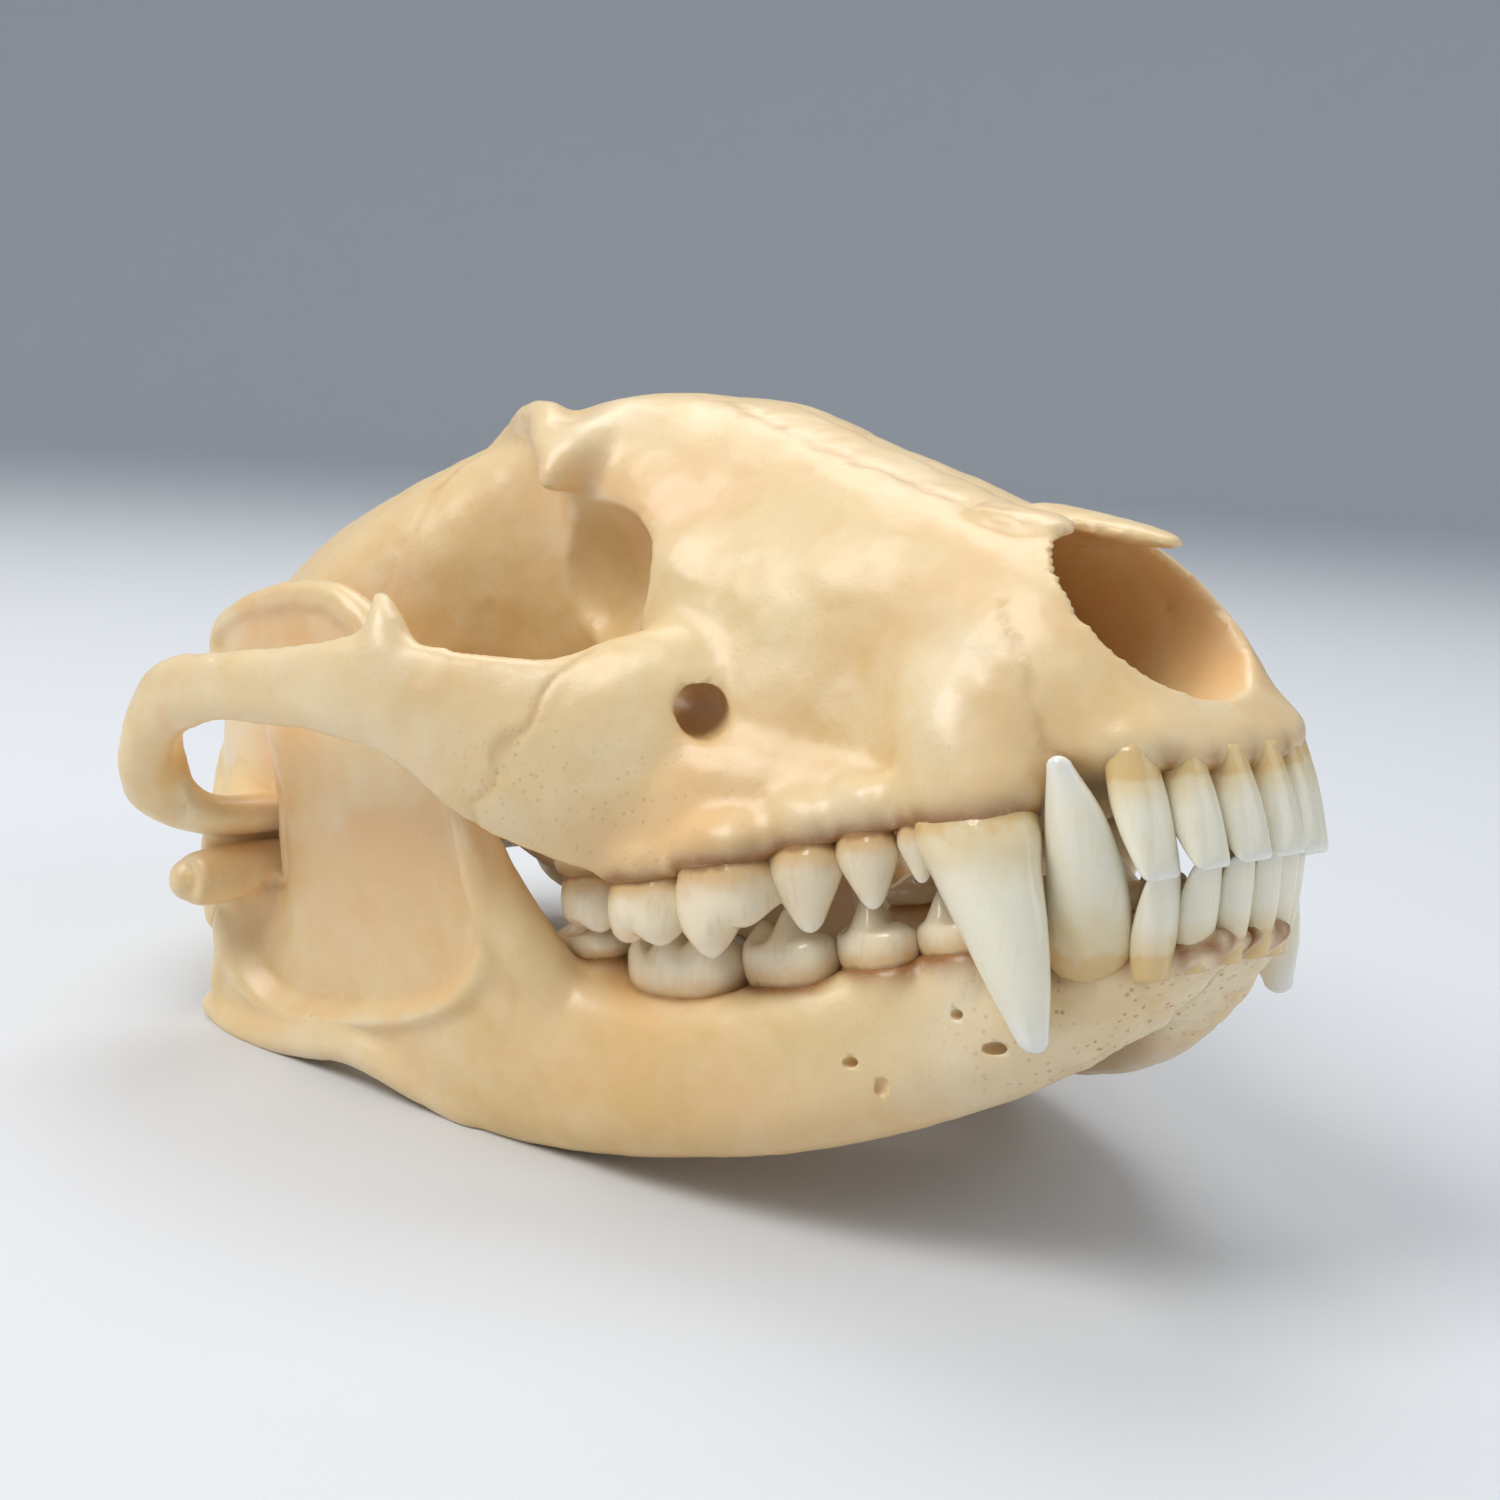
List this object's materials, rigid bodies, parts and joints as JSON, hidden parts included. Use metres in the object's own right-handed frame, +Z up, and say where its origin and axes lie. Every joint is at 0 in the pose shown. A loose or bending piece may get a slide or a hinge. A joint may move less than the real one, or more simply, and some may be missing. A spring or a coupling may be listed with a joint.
{
  "type": "raccoon_skull",
  "caption": "Life-size raccoon skull with its lower jaw and full set of teeth, mouth closed, resting on the jaw.",
  "frame": {"origin": "bottom centre of the bounding box, on the floor under the skull", "axes": "+X to the snout, +Y to the skull's own left, +Z up"},
  "size_m": [0.1146, 0.0774, 0.0557],
  "materials": {
    "bone": "warm cream bone with golden tan patches and a satin polish; the teeth that each bone carries are glossy ivory enamel"
  },
  "bodies": {
    "root": {"cranium": "bone", "zygomatic_arch_right": "bone", "zygomatic_arch_left": "bone", "mandible_right": "bone", "mandible_left": "bone"}
  },
  "joints": []
}
